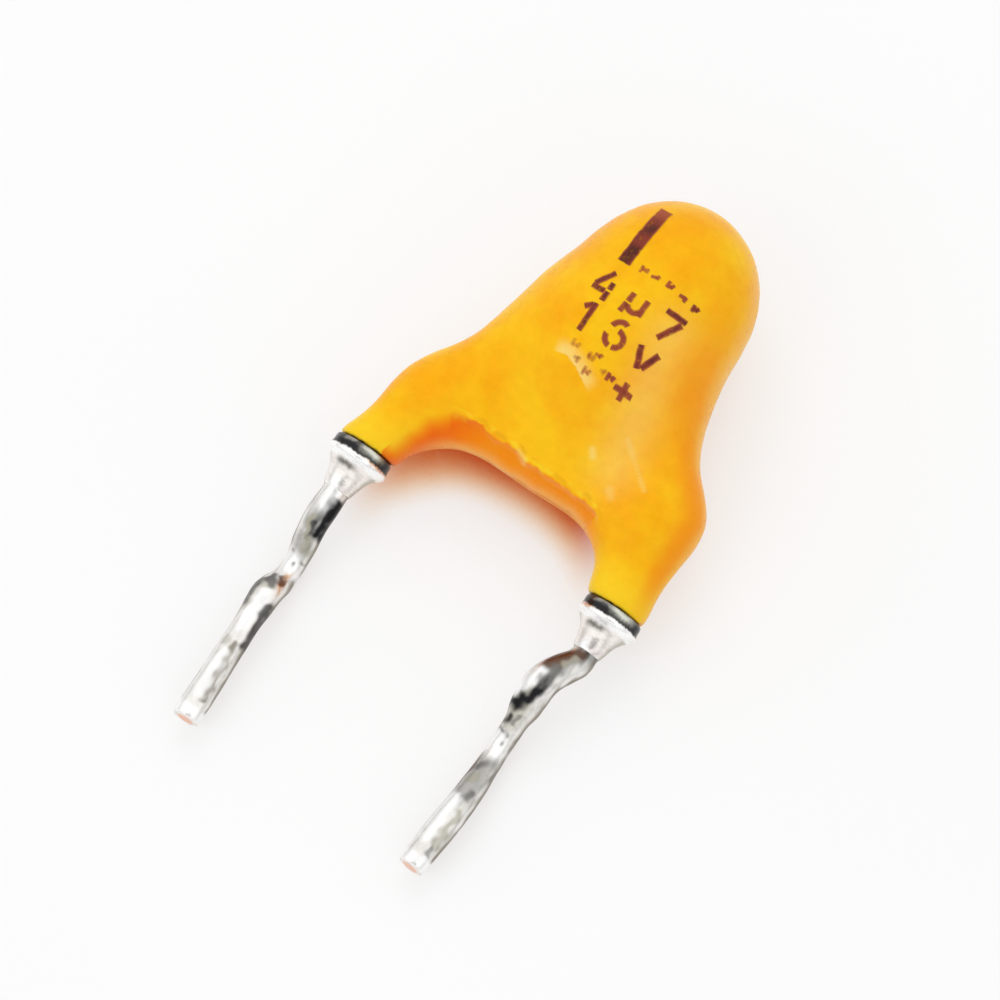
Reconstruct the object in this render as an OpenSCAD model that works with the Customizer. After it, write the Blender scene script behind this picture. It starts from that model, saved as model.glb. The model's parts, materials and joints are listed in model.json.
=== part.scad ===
// Dipped tantalum bead capacitor, radial, with two crimped and cropped leads.
// X runs across the two leads, +Y from the leads towards the tip of the bead, +Z up.
// The part lies on its back: the belly of the bead and the crimp of each lead touch z = 0,
// and the origin is under the middle of its length.

/* [Leads] */
// Distance between the leads where they leave the coating
lead_pitch = 5.08; // [5:0.02:5.2]
// Diameter of the tinned copper wire
lead_d = 0.48; // [0.44:0.01:0.52]
// Distance from the end of the coating to the cropped tips
lead_reach = 5.5; // [5.3:0.1:6.5]
// Radius of every bend, on the wire's centre line
bend_r = 0.45; // [0.4:0.01:0.5]
// How far the crimp of the negative lead dips below the wire's straight run
crimp_drop = 0.46; // [0.42:0.01:0.5]
// How far the tips rise above the wire's straight run
tip_rise = 0.34; // [0.28:0.01:0.38]
// Upward slope of the straight end of each lead, in degrees
end_slope = 8; // [7:0.5:9]
// Distance from the coating to the crimp of the negative lead
negative_crimp = 2.34; // [2.3:0.02:2.5]
// Length of the steep step after the crimp of the negative lead
negative_step = 0.62; // [0.58:0.02:0.7]
// Distance from the coating to the hump of the positive lead
positive_hump = 1.62; // [1.6:0.02:1.7]
// Height of that hump above the straight run
hump_rise = 0.26; // [0.18:0.02:0.28]
// Distance from the coating to the crimp of the positive lead
positive_crimp = 2.92; // [2.8:0.02:3]
// Length of the gentle rise after the crimp of the positive lead
positive_step = 1.2; // [1:0.05:1.3]
// How far the crimped end of the positive lead is set in from the pitch line
positive_set_in = 0.36; // [0.25:0.01:0.4]

/* [Solder collars] */
// Length of each solder collar
collar_len = 0.86; // [0.8:0.01:0.88]
// Diameter of the collar's rounded shoulder
collar_d = 1.12; // [1.02:0.02:1.12]

/* [Slug] */
// Diameter of the sintered tantalum pellet
slug_d = 1.8; // [1.6:0.02:1.84]
// Length of the pellet
slug_len = 2.4; // [2.1:0.05:2.45]
// Distance from the end of the coating to the pellet
slug_base = 3.2; // [3.15:0.01:3.3]
// Diameter of the tantalum riser wire
riser_d = 0.3; // [0.28:0.01:0.34]
// Length of the riser wire inside the pellet
riser_set = 1.2; // [0.8:0.1:1.4]
// Diameter of the insulating washer on the riser wire
washer_d = 0.9; // [0.8:0.05:1]
// Thickness of that washer
washer_t = 0.2; // [0.15:0.01:0.22]
// Diameter of the weld between the riser wire and the positive lead
weld_d = 0.6; // [0.56:0.01:0.62]
// Distance from the pellet down to the middle of the weld
weld_drop = 1.06; // [1:0.01:1.1]
// How far the riser wire runs on past the middle of the weld
riser_tail = 0.14; // [0.1:0.01:0.16]

/* [Cathode layers] */
// Thickness of the manganese dioxide
manganese_t = 0.05; // [0.04:0.01:0.06]
// Thickness of the graphite
graphite_t = 0.04; // [0.03:0.01:0.05]
// Thickness of the silver paint
silver_t = 0.05; // [0.04:0.01:0.06]
// Thickness of the solder round the silver
solder_t = 0.08; // [0.06:0.01:0.1]
// Bare length of the silver below the solder
solder_up = 0.25; // [0.2:0.01:0.3]
// How far the negative lead runs up the silver
negative_rise = 1.05; // [0.9:0.05:1.2]

/* [Coating] */
// Resin wall beside the solder at the fattest part of the bead
bead_wall = 0.4; // [0.38:0.01:0.5]
// How much slimmer the bead is at its lower end
bead_taper = 0.27; // [0.2:0.01:0.32]
// How far the bead leans towards the positive side
bead_lean = 0.12; // [0.08:0.01:0.14]
// Resin wall round a lead at the end of a leg
leg_wall = 0.32; // [0.3:0.01:0.36]
// Height of the negative leg's knee
negative_knee = 1.28; // [1.2:0.02:1.4]
// Resin wall round the lead at that knee
negative_knee_wall = 0.24; // [0.22:0.01:0.3]
// Height of the positive leg's knee
positive_knee = 1.72; // [1.6:0.02:1.8]
// Resin wall round the lead at that knee
positive_knee_wall = 0.42; // [0.36:0.01:0.46]
// Height of the web's centre line between the legs
web_height = 1.57; // [1.5:0.01:1.65]
// Half the thickness of the web
web_r = 0.62; // [0.58:0.01:0.66]

/* [Hidden] */
$fn = 64;

half_pitch = lead_pitch / 2;
lead_r = lead_d / 2;

// Radii of the stack that wraps the pellet, from the inside out
slug_r = slug_d / 2;
manganese_r = slug_r + manganese_t;
graphite_r = manganese_r + graphite_t;
silver_r = graphite_r + silver_t;
solder_r = silver_r + solder_t;
slug_top = slug_base + slug_len;
stack_base = slug_base - manganese_t;
solder_base = slug_base + solder_up;

// The negative lead runs up the side of the stack, a thin film of solder away from the silver
film = 0.02;
fillet = 0.05;
negative_x = bead_lean - silver_r - film - lead_r;
negative_foot = slug_base - 0.2;
negative_top = slug_base + negative_rise;

// The riser wire ends below the washer, where the positive lead is welded on. The lead comes
// in at a slant and is cut square, so its lower corner sets how near to the riser it stops.
weld_y = slug_base - weld_drop;
riser_end = weld_y - riser_tail;
weld_gap = 0.04;
positive_knee_x = half_pitch - 0.3;
weld_bend = [positive_knee_x + 0.02, positive_knee - 0.26, 0];
weld_side = [bead_lean + riser_d / 2 + weld_gap, weld_y, 0];
weld_slant = abs(weld_bend[1] - weld_y) / norm(weld_bend - weld_side);
weld_middle = weld_side + [lead_r * weld_slant, 0, 0];

// An elbow is a hair fatter than the wire, and the straight runs reach a little way into it
elbow_swell = 0.002;
elbow_overlap = 0.02;

// Points of each lead's centre line, from the inner end to the cropped tip
straight_top = 0.16;
end_run = tan(end_slope);
negative_knee_x = -half_pitch + 0.41;
negative_crest = negative_crimp + negative_step;
positive_crest = positive_crimp + positive_step;
function tip_run(crest) = tip_rise - end_run * (lead_reach - crest);
negative_path = [
  [negative_x, negative_top, 0],
  [negative_x, negative_foot, 0],
  [negative_knee_x, negative_knee, 0],
  [-half_pitch, straight_top, 0],
  [-half_pitch, -1.5, 0],
  [-half_pitch + 0.05, -negative_crimp, -crimp_drop],
  [-half_pitch + 0.01, -negative_crest, tip_run(negative_crest)],
  [-half_pitch + 0.17, -lead_reach, tip_rise]];
function positive_path_at(drop) = [
  weld_middle,
  weld_bend,
  [half_pitch, straight_top, 0],
  [half_pitch, -collar_len - 0.16, 0],
  [half_pitch - positive_set_in + 0.06, -positive_hump, hump_rise],
  [half_pitch - positive_set_in, -positive_crimp, -drop],
  [half_pitch - positive_set_in + 0.09, -positive_crest, tip_run(positive_crest)],
  [half_pitch - positive_set_in + 0.01, -lead_reach, tip_rise]];
CRIMP = 5;

// The coating's outer skin is the zero surface of softly blended round cones
bead_top_r = solder_r + bead_wall;
bead_low_r = bead_top_r - bead_taper;
bead_top = [bead_lean + 0.11, slug_top - 0.54, 0];
apron_foot = [bead_lean, web_height + 0.5, 0];
bead_low = [bead_lean - 0.02, slug_base + 0.42, 0];
negative_knee_r = lead_r + negative_knee_wall;
positive_knee_r = lead_r + positive_knee_wall;
leg_r = lead_r + leg_wall;
web_x = half_pitch - 0.96;
soft_body = 1.5;
soft_leg = 0.67;
soft_web = 0.8;

// Rows of the skin: up the arch between the legs, then from the arch to the tip
ARCH_ROWS = 16;
RISE_ROWS = 27;
COLUMNS = 14;
ROWS = ARCH_ROWS + RISE_ROWS;
MARCH = 22;

// Distance from p to a cone with round ends
function round_cone(p, a, b, ra, rb) =
  let (ab = b - a, t = max(0, min(1, ((p - a) * ab) / (ab * ab))))
    norm(p - a - t * ab) - ra - t * (rb - ra);

// The smaller of two distances, with a soft joint k wide
function soft_min(a, b, k) = let (h = max(k - abs(a - b), 0) / k) min(a, b) - h * h * k / 4;

// A leg: from the bead's shoulder to its knee and down to the collar
function leg(p, side, knee, knee_r) = soft_min(
  round_cone(p, [side * 0.7, bead_low[1], 0], knee, 0.7 * bead_low_r, knee_r),
  round_cone(p, knee, [side * half_pitch, -0.1, 0], knee_r, leg_r), soft_leg);

// Signed distance to the coating's skin, negative inside
function skin(p) =
  let (bead = round_cone(p, bead_low, bead_top, bead_low_r, bead_top_r),
    left = leg(p, -1, [negative_knee_x, negative_knee, 0], negative_knee_r),
    right = leg(p, 1, [positive_knee_x, positive_knee, 0], positive_knee_r),
    web = round_cone(p, [-web_x, web_height, 0], [web_x, web_height, 0], web_r, web_r),
    apron = round_cone(p, apron_foot, bead_low, web_r, bead_low_r))
    soft_min(soft_min(soft_min(bead, left, soft_body), right, soft_body),
      soft_min(web, apron, soft_web), soft_web);

// Distance along a ray to where the skin is crossed; inward says that it starts outside
function reach(o, d, lo, hi, inward, n = MARCH) =
  n == 0 ? (lo + hi) / 2
  : let (m = (lo + hi) / 2, inside = skin(o + m * d) < 0)
    inside == inward ? reach(o, d, lo, m, inward, n - 1) : reach(o, d, m, hi, inward, n - 1);

arch_top = reach([0, 0, 0], [0, 1, 0], 0, slug_base - 1, true);
skin_tip = reach([0, slug_base, 0], [0, 1, 0], 0, 2 * slug_len, false) + slug_base;

// Where row i starts: on the arch for the first rows, on the middle line for the rest
function start_of(i, side) =
  i < ARCH_ROWS
  ? let (a = 90 * i / (ARCH_ROWS - 1), d = [side * cos(a), sin(a), 0])
    d * reach([0, 0, 0], d, 0, half_pitch, true)
  : let (u = (i - ARCH_ROWS + 1) / RISE_ROWS)
    [0, arch_top + (skin_tip - arch_top) * (1 - cos(180 * u)) / 2, 0];

// The rows fan out from level at the legs to upright at the tip
function turn_of(i) =
  i < ARCH_ROWS ? 26 * i / (ARCH_ROWS - 1) : 26 + 64 * pow((i - ARCH_ROWS + 1) / RISE_ROWS, 1.3);

// Columns crowd towards the rims, where the skin turns over
function share(i, j) =
  let (v = j / COLUMNS, w = max(0, min(1, 1 - (i - ARCH_ROWS + 1) / 6)))
    w * (1 - cos(180 * v)) / 2 + (1 - w) * sin(90 * v);

// One row of points on the upper skin, from the middle or the arch out to the rim
function skin_row(i, side) =
  let (a = start_of(i, side), t = turn_of(i), d = [side * cos(t), sin(t), 0],
    run = i == ROWS - 1 ? 0 : reach(a, d, 0.02, 7, false))
    [for (j = [0:COLUMNS])
      let (p = a + d * run * share(i, j),
        rim = j == COLUMNS || i == ROWS - 1 || (j == 0 && i < ARCH_ROWS))
        rim ? p : p + [0, 0, reach(p, [0, 0, 1], 0, 3, false)]];

function flip(p) = [p[0], p[1], -p[2]];

// Two triangles for each cell, turned so that they face outwards
function cells(base, turn) =
  [for (i = [0:ROWS - 2], j = [0:COLUMNS - 1])
    let (a = base + i * (COLUMNS + 1) + j, b = a + COLUMNS + 1)
      each i == ROWS - 2 ? [turn ? [a, b, a + 1] : [a, a + 1, b]]
      : turn ? [[a, b, b + 1], [a, b + 1, a + 1]] : [[a, b + 1, b], [a, a + 1, b + 1]]];

// The flat end of a leg, from the first rows of its upper and lower skins
function leg_end(top, low, turn) =
  let (loop = [for (j = [0:COLUMNS]) top + j, for (j = [COLUMNS - 1:-1:1]) low + j])
    turn ? loop : [for (k = [len(loop) - 1:-1:0]) loop[k]];

// How far the bead's belly is below its middle plane at height y
function belly(y) = max([for (x = [0:0.06:0.3]) reach([x, y, 0], [0, 0, 1], 0, 3, false)]);
BELLY = [for (y = [slug_base - 0.6:0.1:slug_top]) [y, -belly(y)]];

// Heights after a turn of t about X: of the belly's lowest point, and of a bend's
function belly_low(t) = min([for (p = BELLY) p[0] * sin(t) + p[1] * cos(t)]);
function bend_low(path, i, t) =
  let (u = unit(path[i] - path[i - 1]), v = unit(path[i + 1] - path[i]), h = [0, sin(t), cos(t)],
    middle = path[i] + unit(v - u) * bend_r / cos(acos(u * v) / 2), side = unit(cross(u, v)))
    middle * h - bend_r * sqrt(1 - pow(side * h, 2)) - lead_r - elbow_swell;

// The bench touches the belly and the negative lead's crimp, which sets the tilt
function settle(lo, hi, n = MARCH) =
  let (t = (lo + hi) / 2)
    n == 0 ? t : belly_low(t) < bend_low(negative_path, CRIMP, t) ? settle(t, hi, n - 1)
    : settle(lo, t, n - 1);
tilt = settle(0, 20);
lift = -belly_low(tilt);

// The positive lead's crimp dips just far enough to touch the bench too
function dip(lo, hi, n = MARCH) =
  let (d = (lo + hi) / 2)
    n == 0 ? d : bend_low(positive_path_at(d), CRIMP, tilt) + lift > 0 ? dip(d, hi, n - 1)
    : dip(lo, d, n - 1);
positive_path = positive_path_at(dip(0.1, 0.8));

// Half way between the lead tips and the top of the bead, along the bench
middle_y = (bead_top[1] * cos(tilt) + bead_top_r - lead_reach * cos(tilt)
  - tip_rise * sin(tilt)) / 2;

module laid_down() translate([0, -middle_y, lift]) rotate([tilt, 0, 0]) children();

// A cylinder of radius r along +Y from y0 to y1
module post(r, y0, y1) translate([0, y0, 0]) rotate([-90, 0, 0]) cylinder(r = r, h = y1 - y0);

// Round wire along points, with an elbow of radius bend_r at each inner point
function unit(v) = v / norm(v);
function cut_back(path, i) =
  let (u = unit(path[i] - path[i - 1]), v = unit(path[i + 1] - path[i]))
    bend_r * tan(acos(min(1, u * v)) / 2);
function run_end(path, i) =
  i == 0 || i == len(path) - 1 ? 0 : cut_back(path, i) - elbow_overlap;

module along(o, x, y) {
  z = cross(x, y);
  multmatrix([[x[0], y[0], z[0], o[0]], [x[1], y[1], z[1], o[1]], [x[2], y[2], z[2], o[2]],
    [0, 0, 0, 1]]) children();
}

module straight_wire(a, b, r) {
  z = unit(b - a);
  x = unit(cross(abs(z[2]) < 0.9 ? [0, 0, 1] : [1, 0, 0], z));
  along(a, x, cross(z, x)) cylinder(r = r, h = norm(b - a));
}

module elbow(before, at, after, r, back) {
  u = unit(at - before);
  v = unit(after - at);
  n = unit(v - (u * v) * u);
  along(at - u * back + n * bend_r, -n, u)
    rotate_extrude(angle = acos(u * v)) translate([bend_r, 0]) circle(r = r + elbow_swell);
}

module bent_wire(path, r) {
  for (i = [0:len(path) - 2]) {
    u = unit(path[i + 1] - path[i]);
    straight_wire(path[i] + u * run_end(path, i), path[i + 1] - u * run_end(path, i + 1), r);
  }
  for (i = [1:len(path) - 2]) elbow(path[i - 1], path[i], path[i + 1], r, cut_back(path, i));
}

// Space of the pellet with its first layers, up to radius r and a lid t thick
module stack(r, t) translate([bead_lean, 0, 0]) post(r, stack_base, slug_top + t);

module riser() translate([bead_lean, 0, 0]) post(riser_d / 2, riser_end, slug_base + riser_set);

module washer() translate([bead_lean, 0, 0]) post(washer_d / 2, stack_base - washer_t, stack_base);

module solder_space() {
  translate([bead_lean, 0, 0])
    post(solder_r, solder_base, slug_top + manganese_t + graphite_t + silver_t + solder_t);
  translate([negative_x, 0, 0]) post(lead_r + fillet, solder_base, negative_top + fillet);
}

module weld_ball() translate(weld_middle) rotate([0, 90, 0]) sphere(r = weld_d / 2);

// The wire stands proud of the weld, so the collar's bore and the coating both fit the wire itself
module collar(side) translate([side * half_pitch, 0, 0]) rotate([90, 0, 0]) difference() {
  rotate_extrude() polygon([[0, 0], [collar_d / 2 - 0.02, 0], [collar_d / 2 - 0.02, 0.14],
    [collar_d / 2, 0.2], [collar_d / 2 - 0.01, 0.26], [collar_d / 2 - 0.06, 0.33],
    [collar_d / 2 - 0.14, 0.42], [lead_r + 0.11, 0.56], [lead_r + 0.06, 0.68],
    [lead_r + 0.03, collar_len], [0, collar_len]]);
  translate([0, 0, -1]) cylinder(r = lead_r, h = collar_len + 2);
}

module skin_body() {
  rows = [for (side = [1, -1], i = [0:ROWS - 1]) each skin_row(i, side)];
  half = ROWS * (COLUMNS + 1);
  polyhedron(
    points = concat(rows, [for (p = rows) flip(p)]),
    faces = concat(cells(0, true), cells(half, false), cells(2 * half, false),
      cells(3 * half, true), [leg_end(0, 2 * half, true), leg_end(half, 3 * half, false)]));
}

// Everything that the resin was dipped over
module core() {
  stack(silver_r, manganese_t + graphite_t + silver_t);
  solder_space();
  riser();
  washer();
  weld_ball();
  bent_wire(positive_path, lead_r);
  bent_wire(negative_path, lead_r);
}

module resin_coat() laid_down() color([0.97, 0.69, 0.1]) difference() {
  skin_body();
  core();
}

module anode_pellet() laid_down() color([0.3, 0.3, 0.32]) difference() {
  translate([bead_lean, 0, 0]) post(slug_r, slug_base, slug_top);
  riser();
}

module riser_wire() laid_down() color([0.55, 0.56, 0.6]) riser();

module riser_washer() laid_down() color([0.93, 0.93, 0.9]) difference() {
  washer();
  riser();
}

module weld_nugget() laid_down() color([0.62, 0.6, 0.56]) difference() {
  weld_ball();
  riser();
  bent_wire(positive_path, lead_r);
}

module manganese_dioxide_layer() laid_down() color([0.1, 0.1, 0.1]) difference() {
  stack(manganese_r, manganese_t);
  translate([bead_lean, 0, 0]) post(slug_r, slug_base, slug_top);
  riser();
}

module graphite_layer() laid_down() color([0.2, 0.2, 0.2]) difference() {
  stack(graphite_r, manganese_t + graphite_t);
  stack(manganese_r, manganese_t);
}

module silver_layer() laid_down() color([0.78, 0.78, 0.76]) difference() {
  stack(silver_r, manganese_t + graphite_t + silver_t);
  stack(graphite_r, manganese_t + graphite_t);
}

module cathode_solder() laid_down() color([0.66, 0.67, 0.68]) difference() {
  solder_space();
  stack(silver_r, manganese_t + graphite_t + silver_t);
  bent_wire(negative_path, lead_r);
}

module positive_lead() laid_down() color([0.75, 0.75, 0.72]) bent_wire(positive_path, lead_r);

module negative_lead() laid_down() color([0.75, 0.75, 0.72]) bent_wire(negative_path, lead_r);

module positive_solder_collar() laid_down() color([0.7, 0.71, 0.72]) collar(1);

module negative_solder_collar() laid_down() color([0.7, 0.71, 0.72]) collar(-1);

resin_coat();
anode_pellet();
riser_wire();
riser_washer();
weld_nugget();
manganese_dioxide_layer();
graphite_layer();
silver_layer();
cathode_solder();
positive_lead();
negative_lead();
positive_solder_collar();
negative_solder_collar();
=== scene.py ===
# %% [markdown]
# # A dipped tantalum capacitor
# A small radial capacitor lies on a white bench, printed side up. It is a glossy orange resin
# bead on two short legs. Each leg ends in a solder collar, and a crimped tinned wire comes out
# of it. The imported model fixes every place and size; this lesson gives the parts their looks.

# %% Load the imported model
import bpy, bmesh, json, math
from mathutils import Matrix, Vector, noise
from mathutils.bvhtree import BVHTree

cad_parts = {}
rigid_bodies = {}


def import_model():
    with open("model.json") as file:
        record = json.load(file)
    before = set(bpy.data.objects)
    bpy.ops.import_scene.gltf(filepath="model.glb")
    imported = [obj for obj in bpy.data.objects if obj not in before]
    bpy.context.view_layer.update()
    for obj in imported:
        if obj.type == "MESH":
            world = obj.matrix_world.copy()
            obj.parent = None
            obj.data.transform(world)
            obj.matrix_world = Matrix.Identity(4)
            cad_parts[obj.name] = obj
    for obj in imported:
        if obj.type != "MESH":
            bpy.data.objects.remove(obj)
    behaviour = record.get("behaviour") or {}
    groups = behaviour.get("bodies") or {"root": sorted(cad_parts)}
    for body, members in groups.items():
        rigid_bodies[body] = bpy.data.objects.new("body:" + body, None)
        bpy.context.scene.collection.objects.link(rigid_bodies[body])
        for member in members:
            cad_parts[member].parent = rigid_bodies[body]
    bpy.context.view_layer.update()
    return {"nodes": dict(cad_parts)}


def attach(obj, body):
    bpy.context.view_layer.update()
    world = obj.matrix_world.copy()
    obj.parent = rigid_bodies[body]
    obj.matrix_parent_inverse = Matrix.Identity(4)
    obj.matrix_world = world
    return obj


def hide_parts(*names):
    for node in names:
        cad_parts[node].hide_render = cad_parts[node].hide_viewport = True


for thing in list(bpy.data.objects):
    bpy.data.objects.remove(thing)
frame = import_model()
nodes = frame["nodes"]
scene = bpy.context.scene
MM = 0.001

# %% [markdown]
# ## Camera
# A long lens looks down steeply from beyond the tips of the leads, so the part shows hardly any
# perspective. The camera is turned by its own three axes, which keeps its sums easy to check.

# %% Aim the camera
turn, height = math.radians(34.706), math.radians(69.0)
back = Vector((math.sin(turn) * math.cos(height), -math.cos(turn) * math.cos(height),
               math.sin(height)))
right = Vector((math.cos(turn), math.sin(turn), 0))
up = back.cross(right)
target = Vector((0, -0.3167, 1.065))
lens = bpy.data.cameras.new("long_lens")
lens.sensor_width, lens.lens = 36, 301.5
lens.clip_start, lens.clip_end = 1 * MM, 2.0
camera = bpy.data.objects.new("long_lens", lens)
scene.collection.objects.link(camera)
camera.location = (target + 0.0594 * right + 0.320 * up + 140 * back) * MM
camera.rotation_euler = Matrix((right, up, back)).transposed().to_euler()
scene.camera = camera
print("the camera looks down by", round(math.degrees(height), 1), "degrees")

# %% [markdown]
# ## Where things are on the part
# The resin's own line runs up from between the leads, and the whole part lies tipped back by a
# few degrees. Detail is easier to place on the part's own axes, so one matrix turns a point on
# them, in millimetres, into its place on the bench.

# %% The part's own axes
TILT, LIFT, MIDDLE_Y = math.radians(9.38424), 0.99858, 0.515225
lay_down = Matrix.Translation((0, -MIDDLE_Y, LIFT)) @ Matrix.Rotation(TILT, 4, "X")
stand_up = lay_down.inverted()
print("the tip of the bead lies at", [round(c, 2) for c in lay_down @ Vector((0, 6.1, 0))])

# %% [markdown]
# ## Helpers for meshes
# Sculpting is done in millimetres on the part's own axes, because Blender's remesher can't make
# cells smaller than a tenth of a millimetre in metres. Each finished mesh is turned back onto
# the bench at the end, so its object stays at the origin.

# %% Mesh helpers
def solid_copy(name):
    """A merged copy of a solid, in millimetres on the part's own axes."""
    bm = bmesh.new()
    bm.from_mesh(nodes[name].data)
    bmesh.ops.transform(bm, matrix=stand_up @ Matrix.Scale(1 / MM, 4), verts=bm.verts)
    bmesh.ops.remove_doubles(bm, verts=bm.verts, dist=0.0005)
    return bm

def through_modifiers(bm, settings):
    """The bmesh after some modifiers, given as (type, {setting: value}) pairs."""
    mesh = bpy.data.meshes.new("clay")
    bm.to_mesh(mesh)
    bm.free()
    helper = bpy.data.objects.new("clay", mesh)
    scene.collection.objects.link(helper)
    for kind, values in settings:
        modifier = helper.modifiers.new(kind.lower(), kind)
        for key, value in values.items():
            setattr(modifier, key, value)
    done = bmesh.new()
    done.from_object(helper, bpy.context.evaluated_depsgraph_get())
    bpy.data.objects.remove(helper)
    bpy.data.meshes.remove(mesh)
    return done

def finish_piece(bm, name, slot, stands_for=()):
    """Lays a sculpted bmesh on the bench as a finished piece."""
    bmesh.ops.transform(bm, matrix=Matrix.Scale(MM, 4) @ lay_down, verts=bm.verts)
    mesh = bpy.data.meshes.new(name)
    bm.to_mesh(mesh)
    bm.free()
    for face in mesh.polygons:
        face.use_smooth = True
    piece = bpy.data.objects.new(name, mesh)
    scene.collection.objects.link(piece)
    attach(piece, "root")
    if stands_for:
        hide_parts(*stands_for)
    print(name, "has", len(mesh.polygons), "faces")
    return piece
print("mesh helpers:", [f.__name__ for f in (solid_copy, through_modifiers, finish_piece)])

# %% [markdown]
# ## Helpers for soft shapes
# Nothing on a dipped part starts or ends with a hard step. Sculpting and painting both need an
# amount that fades, and a way to say how far a point is from a drawn line. A few small functions
# of a point do for both, so a push and the paint on it always agree.

# %% Helpers for soft pushes and paint
def ease(low, high, x):
    """0 below low, 1 above high, and a soft step between them."""
    t = min(1, max(0, (x - low) / (high - low)))
    return t * t * (3 - 2 * t)

def bell(x, width):
    """1 where x is 0, fading to nothing at about twice the width."""
    return math.exp(-(x / width) ** 2)

def along_line(p, line):
    """Distance from p to a line of points seen from above, how far along it, and its side."""
    best, run = (math.inf, 0, 1), 0
    for a, b in zip(line, line[1:]):
        ab, ap = Vector(b) - Vector(a), Vector(p[:2]) - Vector(a)
        t = min(1, max(0, ap.dot(ab) / ab.length_squared))
        off = (ap - t * ab).length
        if off < best[0]:
            side = 1 if ab.x * ap.y - ab.y * ap.x > 0 else -1
            best = (off, run + t * ab.length, side)
        run += ab.length
    return best
print("a soft step passes", ease(0, 1, 0.25), "a quarter of the way along")

# %% [markdown]
# ## Light, bench and background
# A small shiny part is lit with a white tent. Lamps alone could do it, but tin would show them as
# hard dots. So the world gives matt surfaces an even white light, and shows shiny ones the tent
# itself: greyer towards the table, with the dark shape of the camera hanging in it. That contrast
# is what makes tin look like metal.

# %% World
scene.view_settings.view_transform = "Standard"
world = bpy.data.worlds.new("studio")
scene.world = world
world.use_nodes = True
tree = world.node_tree
tree.nodes.clear()

def node(tree, kind, values=None, links=None, **settings):
    """Adds a node, sets its settings and inputs, and links its inputs from other sockets."""
    made = tree.nodes.new(kind)
    for key, value in settings.items():
        setattr(made, key, value)
    for key, value in (values or {}).items():
        made.inputs[key].default_value = value
    for key, socket in (links or {}).items():
        tree.links.new(socket, made.inputs[key])
    return made

def ramp(tree, fac, stops, interpolation="LINEAR"):
    """A colour ramp through (place, colour) stops; a single number stands for a grey."""
    made = node(tree, "ShaderNodeValToRGB", links={"Fac": fac})
    made.color_ramp.interpolation = interpolation
    points = made.color_ramp.elements
    while len(points) < len(stops):
        points.new(0.5)
    for point, (place, colour) in zip(points, stops):
        point.position = place
        point.color = (*colour, 1) if isinstance(colour, tuple) else (colour,) * 3 + (1,)
    return made.outputs["Color"]

view_dir = node(tree, "ShaderNodeTexCoord").outputs["Generated"]
height_of = node(tree, "ShaderNodeSeparateXYZ", links={"Vector": view_dir})
tent = ramp(tree, height_of.outputs["Z"], [(0.0, 0.55), (0.2, 0.7), (0.45, 1.1)], "EASE")
towards = node(tree, "ShaderNodeVectorMath", {1: tuple(back)}, {0: view_dir},
               operation="DOT_PRODUCT")
dark_camera = ramp(tree, towards.outputs["Value"], [(0.925, 1.0), (0.965, 0.22)], "EASE")
sky = node(tree, "ShaderNodeMix", {0: 1.0}, {6: tent, 7: dark_camera}, data_type="RGBA",
           blend_type="MULTIPLY").outputs[2]
rays = node(tree, "ShaderNodeLightPath")
even = node(tree, "ShaderNodeBackground", {"Color": (1, 1, 1, 1), "Strength": 0.86})
studio = node(tree, "ShaderNodeBackground", {"Strength": 1.0}, {"Color": sky})
white = node(tree, "ShaderNodeBackground", {"Color": (1, 1, 1, 1), "Strength": 1.0})
shiny = node(tree, "ShaderNodeMixShader", links={
    "Fac": rays.outputs["Is Glossy Ray"], 1: even.outputs[0], 2: studio.outputs[0]})
seen = node(tree, "ShaderNodeMixShader", links={
    "Fac": rays.outputs["Is Camera Ray"], 1: shiny.outputs[0], 2: white.outputs[0]})
node(tree, "ShaderNodeOutputWorld", links={"Surface": seen.outputs[0]})
print("world strength for matt surfaces:", even.inputs["Strength"].default_value)

# %% Two soft lamps
def soft_lamp(name, azimuth, elevation, distance, size, strength):
    """A square lamp aimed at the part; strength is the light it gives a surface facing it."""
    lamp = bpy.data.lights.new(name, "AREA")
    lamp.size = size * MM
    lamp.energy = strength * math.pi ** 2 * (distance * MM) ** 2
    thing = bpy.data.objects.new(name, lamp)
    a, e = math.radians(azimuth), math.radians(elevation)
    way = Vector((math.cos(a) * math.cos(e), math.sin(a) * math.cos(e), math.sin(e)))
    thing.location = way * distance * MM
    thing.rotation_euler = way.to_track_quat("Z", "Y").to_euler()
    scene.collection.objects.link(thing)
    thing.visible_glossy = False
    return thing

key = soft_lamp("key", 128, 55, 120, 80, 0.16)
front = soft_lamp("front", 250, 45, 120, 70, 0.08)
print("lamps:", [round(o.data.energy, 4) for o in (key, front)], "watts")

# %% [markdown]
# ## Bench
# The bench is plain matt white paper. Camera, mirrors and glass see part of it as white light of
# its own, which keeps it white all over but leaves the part's shadow on it. Under the arch the
# white turns warm, as it does where orange resin hangs over a table. Bounced light alone gives
# that too faintly on glowing paper, so a measure of how closed in each spot is paints a warm
# shade onto it: a painted shadow with painted bounced colour.

# %% Lay the bench
BENCH_RADIUS = 400 * MM
bm = bmesh.new()
bmesh.ops.create_circle(bm, cap_ends=True, segments=96, radius=BENCH_RADIUS)
mesh = bpy.data.meshes.new("bench")
bm.to_mesh(mesh)
bm.free()
bench = bpy.data.objects.new("bench", mesh)
scene.collection.objects.link(bench)
print("bench is", round(bench.dimensions.x / MM), "mm wide")
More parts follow.
